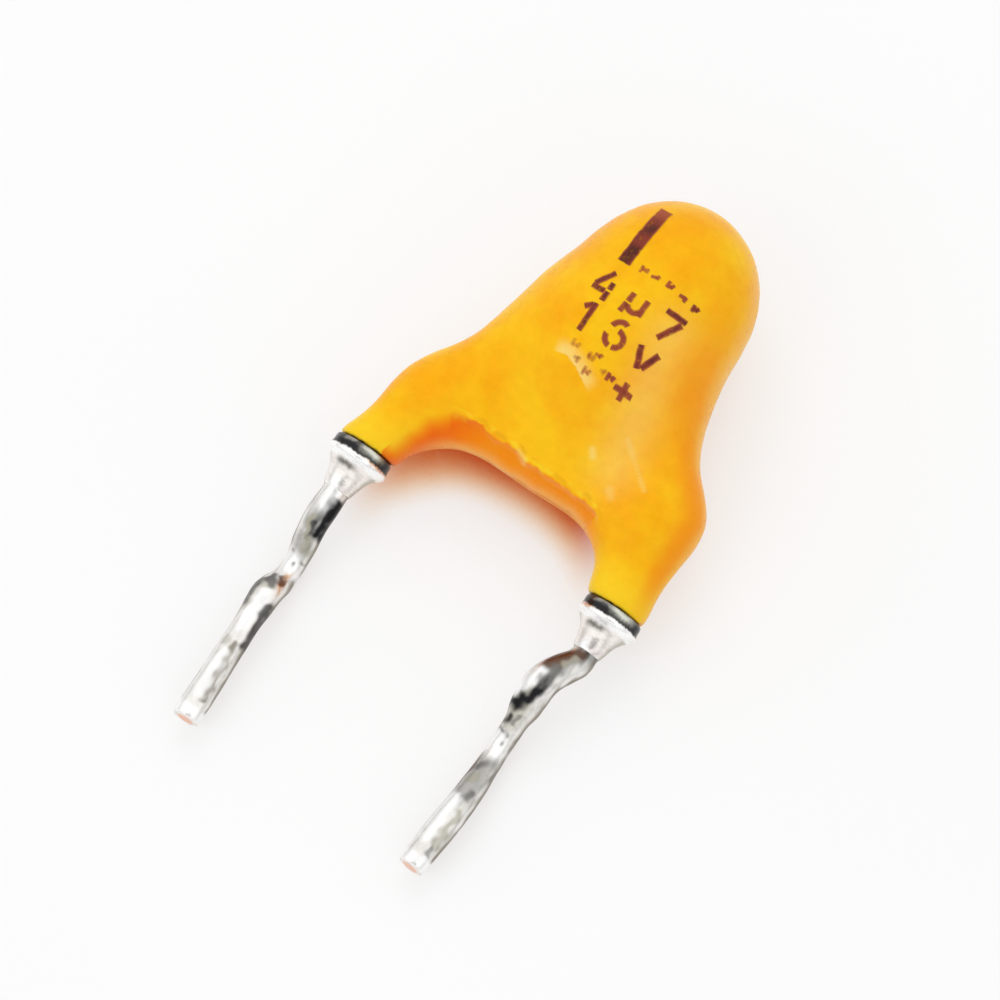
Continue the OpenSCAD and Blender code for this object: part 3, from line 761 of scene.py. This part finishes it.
# Marks: a line seen from above, its width, its colour and how much paint it takes
# The white marks are painted highlights; the black, grey and olive ones are partly painted dark
# reflections and partly dull smears
NEGATIVE_MARKS_AND_GLINTS = [
    ([(-2.50, -1.30), (-2.50, -1.95)], 0.20, GREY, 0.5),
    ([(-2.62, -2.85), (-2.62, -3.3)], 0.16, OLIVE, 0.6),
    ([(-2.40, -4.0), (-2.28, -5.1)], 0.07, TARNISH_AND_FLANK_SHADE, 0.8),
    ([(-2.48, -0.80), (-2.51, -1.20)], 0.14, WHITE, 1.0),
    ([(-2.36, -1.04), (-2.35, -1.35), (-2.36, -1.66)], 0.10, BLACK, 1.0),
    ([(-2.50, -1.52), (-2.47, -1.80)], 0.05, BLACK, 0.8),
    ([(-2.58, -1.45), (-2.54, -1.75)], 0.05, OLIVE, 0.9),
    ([(-2.44, -1.82), (-2.42, -2.02)], 0.10, OLIVE, 0.8),
    ([(-2.62, -2.10), (-2.36, -2.16)], 0.04, GREY, 0.9),
    ([(-2.52, -2.24), (-2.44, -2.38)], 0.20, WHITE, 1.0),
    ([(-2.44, -2.60), (-2.41, -2.66)], 0.07, RUST, 0.9),
    ([(-2.62, -2.70), (-2.50, -2.78)], 0.10, GREY, 0.9),
    ([(-2.60, -2.62), (-2.74, -2.85), (-2.76, -3.40)], 0.08, GREY, 0.95),
    ([(-2.33, -3.15), (-2.29, -3.55), (-2.27, -3.95)], 0.08, BLACK, 0.85),
    ([(-2.52, -3.00), (-2.48, -3.70)], 0.12, WHITE, 0.9),
    ([(-2.60, -3.95), (-2.54, -4.05)], 0.07, OLIVE, 0.5),
    ([(-2.46, -4.20), (-2.40, -5.00)], 0.12, WHITE, 0.7)]
POSITIVE_MARKS_AND_GLINTS = [
    ([(2.60, -0.88), (2.44, -1.12), (2.26, -1.38), (2.20, -1.6)], 0.22, GREY, 0.8),
    ([(2.16, -2.05), (2.16, -2.5)], 0.2, OLIVE, 0.7),
    ([(2.20, -3.3), (2.2, -4.0)], 0.24, GREY, 0.6),
    ([(2.02, -3.2), (2.0, -3.9)], 0.06, RUST, 0.8),
    ([(2.36, -0.72), (2.44, -0.78)], 0.10, WHITE, 1.0),
    ([(2.60, -0.86), (2.56, -1.00)], 0.07, BLACK, 0.8),
    ([(2.50, -0.98), (2.38, -1.12), (2.22, -1.36)], 0.15, RUST, 0.9),
    ([(2.50, -1.10), (2.42, -1.25)], 0.08, OLIVE, 0.8),
    ([(2.36, -1.45), (2.34, -1.70)], 0.12, GREY, 0.85),
    ([(2.12, -1.60), (2.00, -1.98)], 0.14, WHITE, 1.0),
    ([(1.98, -2.22), (2.14, -2.20), (2.24, -2.02), (2.32, -1.84)], 0.12, BLACK, 1.0),
    ([(2.08, -2.44), (2.10, -2.50)], 0.08, BLACK, 0.9),
    ([(2.24, -2.40), (2.22, -2.55)], 0.05, GREY, 0.7),
    ([(1.98, -2.66), (2.24, -2.74)], 0.05, GREY, 0.95),
    ([(2.10, -2.88), (2.15, -3.06)], 0.20, WHITE, 1.0),
    ([(2.20, -3.36), (2.14, -3.46)], 0.09, GREY, 0.85),
    ([(2.22, -3.62), (2.18, -3.74)], 0.07, OLIVE, 0.7),
    ([(2.32, -3.90), (2.30, -4.05)], 0.07, GREY, 0.85),
    ([(2.15, -4.10), (2.14, -4.90)], 0.13, WHITE, 0.9),
    ([(2.36, -4.30), (2.38, -5.00)], 0.08, OLIVE, 0.7),
    ([(2.36, -5.08), (2.34, -5.20)], 0.05, GREY, 0.7)]

print("marks on the leads:", len(NEGATIVE_MARKS_AND_GLINTS), "and", len(POSITIVE_MARKS_AND_GLINTS))

# %% Squeeze a wire
WIRE_CELL = 0.03

def squeezed(p, path, table, seed):
    """Where a point of the wire goes when its section is squeezed and made slightly uneven."""
    spot, way = nearest_on(p, path)
    wide, high = factors_at(p.y, table)
    side = way.cross(Vector((0, 0, 1))).normalized()
    top = side.cross(way).normalized()
    off, shift = p - spot, Vector((seed, 0, 0))
    uneven = 1 + 0.05 * noise.noise(p * 2.2 + shift) + 0.012 * noise.noise(p * 7 + shift)
    return spot + (side * off.dot(side) * wide + top * off.dot(top) * high) * uneven \
        + way * off.dot(way)

def pinched_wire(name, path, table, seed):
    """A remeshed copy of a lead, squeezed where the pliers held it."""
    bm = through_modifiers(solid_copy(name), [
        ("REMESH", {"mode": "VOXEL", "voxel_size": WIRE_CELL}),
        ("SMOOTH", {"factor": 0.5, "iterations": 6}),
    ])
    for v in bm.verts:
        if v.co.y < 0:
            v.co = squeezed(v.co, path, table, seed)
    outside = [v for v in bm.verts if -5.3 < v.co.y < -0.9]
    for _ in range(3):
        bmesh.ops.smooth_vert(bm, verts=outside, factor=0.5, use_axis_x=True, use_axis_y=True,
                              use_axis_z=True)
    return bm
print("wires are remeshed at", WIRE_CELL, "mm")

# %% Paint a wire
def wire_paint(p, normal, marks, seed):
    """Painted shade on the flanks, then the marks with their painted highlights and reflections,
    then a bright ring at the cut end.
    """
    streak = noise.noise((p.x * 14, p.y * 3, seed))
    # painted shade: the flanks of the wire darker, for the shaded bench they would reflect
    flank = 1 - ease(0.15, 0.62, normal.z + 0.3 * streak)
    paint = over((TARNISH_AND_FLANK_SHADE, 0.0), TARNISH_AND_FLANK_SHADE, 0.9 * flank * (0.4 + 0.6 * ease(-0.7, 0.1, normal.z)))
    worn = p + 0.07 * noise.noise_vector(p * 6)
    for mark, width, colour, amount in marks:
        off = along_line(worn, mark)[0] + 0.3 * width * streak
        if off < 1.3 * width:
            paint = over(paint, colour, amount * (1 - ease(0.3 * width, 1.3 * width, off))
                         * ease(-0.3, 0.15, normal.z))
    return over(paint, WHITE, 0.9 * ease(5.2, 5.3, -p.y))

def painted_lead(name, path, table, marks, seed):
    """A pinched wire with its painted flank shade, its marks and the copper core of its cut end.
    """
    bm = pinched_wire(name, path, table, seed)
    bm.normal_update()
    tint = bm.verts.layers.float_color.new("tint")
    end = Vector(path[-1])
    for v in bm.verts:
        from_end = (v.co - end).length
        if from_end < 0.3 and v.normal.y < -0.8:
            v[tint] = (*COPPER, 1 - ease(0.12, 0.18, from_end))
        elif v.co.y < 0:
            colour, amount = wire_paint(v.co, v.normal, marks, seed)
            v[tint] = (*colour, amount)
        else:
            v[tint] = (0, 0, 0, 0)
    return bm

negative = finish_piece(
    painted_lead("negative_lead", NEGATIVE, NEGATIVE_SQUEEZE, NEGATIVE_MARKS_AND_GLINTS, 1),
    "crimped_negative_lead", "tinned_wire", ["negative_lead"])
positive = finish_piece(
    painted_lead("positive_lead", POSITIVE, POSITIVE_SQUEEZE, POSITIVE_MARKS_AND_GLINTS, 7),
    "crimped_positive_lead", "tinned_wire", ["positive_lead"])

# %% [markdown]
# ## Solder collars
# Where each lead leaves the resin, solder crept up it and froze: a short drum against the
# resin, a bright rounded ridge, and a hollow cone that runs out along the wire. It could be a
# stack of cones with bevels, but one profile spun round the lead keeps the curve unbroken. A
# little noise takes away the machined look, and paint gives the burnt band, the ridge as a
# painted highlight, and painted shade on the cone.

# %% Paint a collar
LEAD_X, COLLAR_R = 2.54, 0.55
# The grey and light marks by the flux and the white ridge are painted highlights; olive flanks and
# the dark streak on the cone are painted shade
FLUX, GREY_EDGE_HIGHLIGHT, SHINE, CONE_SHADOW_STREAK = (0.09, 0.085, 0.08), (0.45, 0.44, 0.40), (0.74, 0.75, 0.66), \
    (0.15, 0.14, 0.12)
DUSK = (0.66, 0.58, 0.57)
def collar_paint(p, normal, x):
    """Burnt flux next to the resin with painted highlights at its edge, then the ridge painted
    white as a highlight, then a pale cone with painted shade and a painted shadow streak.
    """
    across = (p.x - x) / COLLAR_R
    wander = 0.018 * noise.noise((p.x * 20, 3, p.z * 20)) + 0.03 * noise.noise((p.x * 5, 8, 2))
    depth = wander - p.y
    mottle = noise.noise(p * 7)
    paint = over((PEARL, 1.0), DUSK, 0.5 * ease(0.5, 0.75, depth) * ease(-0.1, 0.4, mottle))
    # painted shade: olive on the flanks of the cone
    paint = over(paint, OLIVE, 0.8 * (1 - ease(0.1, 0.5, normal.z)) * ease(0.3, 0.4, depth))
    paint = over(paint, FLUX, 1 - ease(0.17, 0.235, depth))
    # painted highlight: grey glints at the edge of the flux next to the resin
    paint = over(paint, GREY_EDGE_HIGHLIGHT, 0.7 * bell(depth - 0.04, 0.05) * ease(0.0, 0.3, mottle))
    paint = over(paint, BLACK, ease(0.05, 0.1, depth + 0.03 * across)
                 * (1 - ease(0.18, 0.215, depth)))
    # painted highlight: a light streak in the dark flux band
    paint = over(paint, SHINE, 0.95 * bell(depth - 0.07, 0.06)
                 * ease(-0.05, 0.25, across) * (1 - ease(0.6, 0.92, across)))
    # painted highlight: the ridge painted white
    paint = over(paint, WHITE, ease(0.195, 0.225, depth) * (1 - ease(0.35, 0.39, depth)))
    # painted shadow: a dark streak along the cone
    paint = over(paint, CONE_SHADOW_STREAK, 0.9 * bell(depth - 0.43, 0.045)
                 * ease(-0.55, -0.3, across) * (1 - ease(0.05, 0.3, across)))
    return over(paint, WHITE, ease(0.6, 0.7, depth) * bell(across + 0.1, 0.2))[0]
ridge = collar_paint(Vector((LEAD_X, -0.28, 0.5)), Vector((0, 0, 1)), LEAD_X)
print("paint on top of the ridge:", [round(c, 2) for c in ridge])

# %% Spin the collars
# Profile: distance from the middle of the wire, distance from the resin
PROFILE = [(0.245, 0.0), (0.50, 0.0), (0.53, 0.02), (0.538, 0.07), (0.535, 0.13), (0.542, 0.19),
           (0.560, 0.225), (0.566, 0.255), (0.556, 0.285), (0.525, 0.315), (0.47, 0.36),
           (0.415, 0.42), (0.37, 0.49), (0.335, 0.57), (0.308, 0.66), (0.287, 0.75),
           (0.268, 0.82), (0.250, 0.86), (0.235, 0.865)]

def spun_collar(x, seed):
    """A profile spun round the lead at x, bridged along its bore, made uneven and painted."""
    bm = bmesh.new()
    ring = [bm.verts.new((x + r, -d, 0)) for r, d in PROFILE]
    edges = [bm.edges.new(pair) for pair in zip(ring, ring[1:])]
    bmesh.ops.spin(bm, geom=ring + edges, cent=(x, 0, 0), axis=(0, 1, 0),
                   angle=math.tau, steps=72, use_merge=True)
    bmesh.ops.bridge_loops(bm, edges=[e for e in bm.edges if e.is_boundary])
    bmesh.ops.subdivide_edges(bm, edges=bm.edges[:], cuts=2, use_grid_fill=True)
    bmesh.ops.smooth_vert(bm, verts=bm.verts, factor=0.5, use_axis_x=True, use_axis_y=True,
                          use_axis_z=True)
    bmesh.ops.recalc_face_normals(bm, faces=bm.faces)
    shift = Vector((seed, 0, 0))
    for v in bm.verts:
        out = Vector((v.co.x - x, 0, v.co.z))
        if out.length > 0.26:
            bumps = 0.035 * noise.noise(v.co * 2 + shift) + 0.012 * noise.noise(v.co * 9 + shift)
            v.co += out * bumps * ease(0.0, 0.2, -v.co.y)
    bm.normal_update()
    tint = bm.verts.layers.float_color.new("tint")
    for v in bm.verts:
        v[tint] = (*collar_paint(v.co, v.normal, x), 1)
    return bm

collars = [finish_piece(spun_collar(x, seed), name + "_shape", "solder", [name])
           for name, x, seed in (("positive_solder_collar", LEAD_X, 3),
                                 ("negative_solder_collar", -LEAD_X, 5))]

# %% [markdown]
# ## Tin and solder
# Both are bright soft metals, dulled by handling. Long smears run along the wire, so their
# noise is stretched along the part; the dark smears on the tin are partly a painted dark
# reflection. Next to the resin the solder is nearly black, where flux burnt on it; the ridge
# beside it is painted bright as a highlight.

# %% A group for smears along the wire
smears, ends_in, ends_out = new_group(
    "smears", [("Place", "NodeSocketVector", None), ("Stretch", "NodeSocketVector", (1, 1, 1)),
               ("Seed", "NodeSocketFloat", 0.0)], [("Mask", "NodeSocketFloat")])
stretched = node(smears, "ShaderNodeVectorMath", links={0: ends_in.outputs["Place"],
                 1: ends_in.outputs["Stretch"]}, operation="MULTIPLY")
cloud = node(smears, "ShaderNodeTexNoise", {"Scale": 1.0, "Detail": 5, "Roughness": 0.6},
             {"Vector": stretched.outputs[0], "W": ends_in.outputs["Seed"]},
             noise_dimensions="4D")
smears.links.new(cloud.outputs["Fac"], ends_out.inputs["Mask"])

def smear(tree, place, stretch, seed, stops):
    """Smears stretched by (x, y, z) per millimetre, sent through a ramp."""
    made = node(tree, "ShaderNodeGroup", {"Stretch": stretch, "Seed": seed}, {"Place": place},
                node_tree=smears)
    return ramp(tree, made.outputs["Mask"], stops)
print("group:", smears.name)

# %% Tinned wire
tin, tree, place = start_material("tinned_copper")
# dark smears along the wire: partly dull tin, partly a painted dark reflection
dark = smear(tree, place, (7, 1.1, 7), 2.0, [(0.48, 0.0), (0.72, 0.5)])
fine = smear(tree, place, (26, 6, 26), 9.0, [(0.35, 0.0), (0.65, 1.0)])
tone = blend(tree, dark, (0.93, 0.92, 0.90), (0.36, 0.34, 0.29))
film = ramp(tree, fine, [(0.0, (0.9, 0.88, 0.84)), (1.0, (1, 1, 1))])
tone = blend(tree, 1.0, tone, film, "MULTIPLY")
paint = node(tree, "ShaderNodeAttribute", attribute_name="tint", attribute_type="GEOMETRY")
tone = blend(tree, paint.outputs["Alpha"], tone, paint.outputs["Color"])
gloss = ramp(tree, fine, [(0.0, 0.26), (1.0, 0.4)])
bump = node(tree, "ShaderNodeBump", {"Strength": 0.3, "Distance": 0.004 * MM}, {"Height": fine})
end_material(tree, {"Metallic": 1.0},
             {"Base Color": tone, "Roughness": gloss, "Normal": bump.outputs["Normal"]})
for lead in (negative, positive):
    lead.data.materials.append(tin)
print("tin material has", len(tree.nodes), "nodes")

# %% Solder
solder, tree, place = start_material("frozen_solder")
paint = node(tree, "ShaderNodeAttribute", attribute_name="tint", attribute_type="GEOMETRY")
streaks = smear(tree, place, (3, 9, 3), 6.0, [(0.5, (1, 1, 1)), (0.7, (0.80, 0.77, 0.76))])
tone = blend(tree, 1.0, paint.outputs["Color"], streaks, "MULTIPLY")
fine = smear(tree, place, (22, 22, 22), 3.0, [(0.35, 0.0), (0.65, 1.0)])
gloss = ramp(tree, fine, [(0.0, 0.18), (1.0, 0.3)])
bump = node(tree, "ShaderNodeBump", {"Strength": 0.25, "Distance": 0.003 * MM}, {"Height": fine})
end_material(tree, {"Metallic": 0.7},
             {"Base Color": tone, "Roughness": gloss, "Normal": bump.outputs["Normal"]})
for collar in collars:
    collar.data.materials.append(solder)
print("solder material has", len(tree.nodes), "nodes")

# %% [markdown]
# ## What lies inside
# A porous tantalum pellet holds the charge. It sits on a tantalum riser wire with a white
# washer, and carries layers of manganese dioxide, graphite and silver paint before the solder
# that joins it to its lead. None of this shows, but a cut through the part should read right,
# so each solid gets its own stuff: two tones that drift, a grain, a stain and a gloss.

# %% Stuff for each solid
# Stuffs: low tone, high tone, grains to a millimetre, roughness, metal, height of grain in mm
INSIDE = {
    "anode_pellet": ((0.10, 0.10, 0.11), (0.21, 0.21, 0.22), 16, 0.75, 0.6, 0.012),
    "riser_wire": ((0.30, 0.31, 0.33), (0.48, 0.49, 0.52), 6, 0.38, 1.0, 0.003),
    "riser_washer": ((0.78, 0.78, 0.75), (0.90, 0.90, 0.88), 4, 0.5, 0.0, 0.003),
    "weld_nugget": ((0.32, 0.30, 0.28), (0.62, 0.60, 0.57), 9, 0.35, 1.0, 0.008),
    "manganese_dioxide_layer": ((0.012, 0.011, 0.012), (0.045, 0.038, 0.036), 9, 0.85, 0.0,
                                0.015),
    "graphite_layer": ((0.02, 0.02, 0.022), (0.07, 0.07, 0.075), 7, 0.5, 0.3, 0.006),
    "silver_layer": ((0.50, 0.50, 0.51), (0.76, 0.76, 0.77), 10, 0.42, 0.85, 0.006),
    "cathode_solder": ((0.48, 0.48, 0.50), (0.80, 0.80, 0.82), 3, 0.28, 1.0, 0.015),
}
for name, (low, high, grain_size, rough, metal, height) in INSIDE.items():
    made, tree, place = start_material(name + "_stuff")
    tones = node(tree, "ShaderNodeGroup", {"Scale": grain_size / 4, "Low": (*low, 1),
                 "High": (*high, 1)}, {"Place": place}, node_tree=drift)
    grain = smear(tree, place, (grain_size,) * 3, len(name), [(0.35, 0.0), (0.65, 1.0)])
    shade = ramp(tree, grain, [(0.0, 0.78), (1.0, 1.0)])
    tone = blend(tree, 1.0, tones.outputs["Color"], shade, "MULTIPLY")
    stain = smear(tree, place, (1.5, 1.5, 1.5), metal + 11, [(0.5, 0.0), (0.75, 0.5)])
    tone = blend(tree, stain, tone, tuple(0.6 * c for c in low))
    gloss = ramp(tree, grain, [(0.0, rough), (1.0, rough + 0.12)])
    bump = node(tree, "ShaderNodeBump", {"Strength": 0.5, "Distance": height * MM},
                {"Height": grain})
    end_material(tree, {"Metallic": metal},
                 {"Base Color": tone, "Roughness": gloss, "Normal": bump.outputs["Normal"]})
    nodes[name].data.materials.clear()
    nodes[name].data.materials.append(made)
for name, stuff in (("resin_coat", resin), ("negative_lead", tin), ("positive_lead", tin),
                    ("negative_solder_collar", solder), ("positive_solder_collar", solder)):
    nodes[name].data.materials.clear()
    nodes[name].data.materials.append(stuff)
print("solids with their own stuff:", len(nodes))
